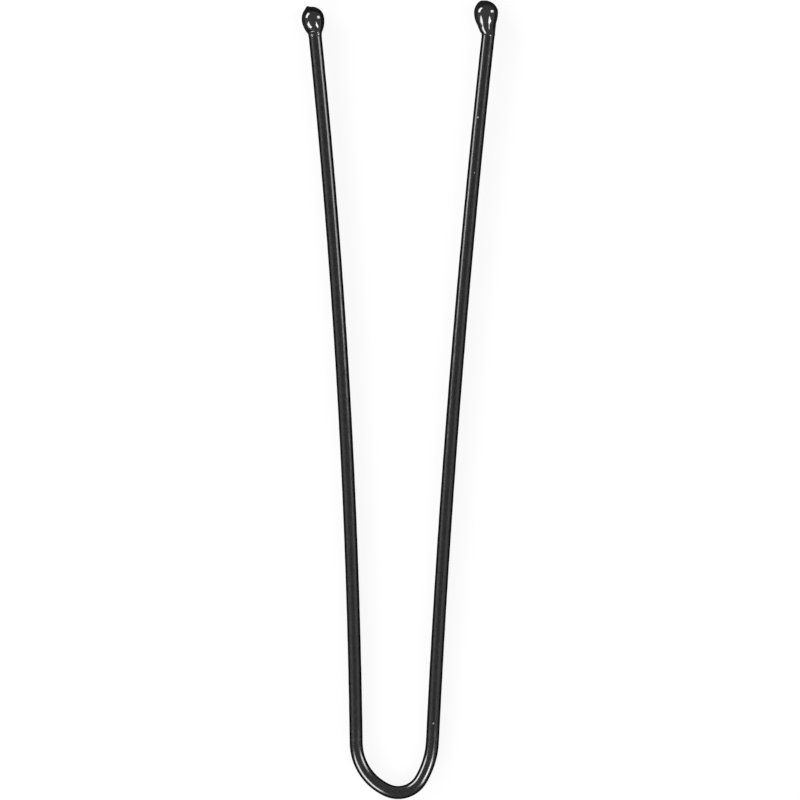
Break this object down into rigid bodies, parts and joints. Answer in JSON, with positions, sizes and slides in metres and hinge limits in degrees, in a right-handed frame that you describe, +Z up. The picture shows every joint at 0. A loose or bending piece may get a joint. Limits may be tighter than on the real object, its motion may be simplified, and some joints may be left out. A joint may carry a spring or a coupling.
{
  "type": "u-shaped hair pin",
  "caption": "U-shaped hair pin of black lacquered spring wire with rounded drop tips; its springy legs push into gathered hair and grip it.",
  "frame": {"origin": "middle of the pin's footprint, on the surface it lies on", "axes": "+Y from the closed bow to the two tips, +X to the pin's right seen from above, +Z up from the surface"},
  "size_m": [0.0156, 0.0634, 0.0019],
  "materials": {
    "spring_steel": "drawn wire",
    "black_lacquer": "baked black lacquer, semi-gloss with a fine grain",
    "drop_resin": "glossy black dipped resin"
  },
  "bodies": {
    "bow": {"bow_wire": "spring_steel", "bow_lacquer": "black_lacquer"},
    "left_leg": {"left_leg_wire": "spring_steel", "left_leg_lacquer": "black_lacquer", "left_drop": "drop_resin"},
    "right_leg": {"right_leg_wire": "spring_steel", "right_leg_lacquer": "black_lacquer", "right_drop": "drop_resin"}
  },
  "joints": [
    {"name": "left_leg_flex", "type": "hinge", "parent": "bow", "child": "left_leg", "pos_m": [-0.00352, -0.02377, 0.00093], "axis": [0, 0, 1], "range_deg": [-6, 8], "stiffness_Nm_per_rad": 0.22},
    {"name": "right_leg_flex", "type": "hinge", "parent": "bow", "child": "right_leg", "pos_m": [0.00278, -0.02365, 0.00093], "axis": [0, 0, -1], "range_deg": [-6, 8], "stiffness_Nm_per_rad": 0.22}
  ]
}
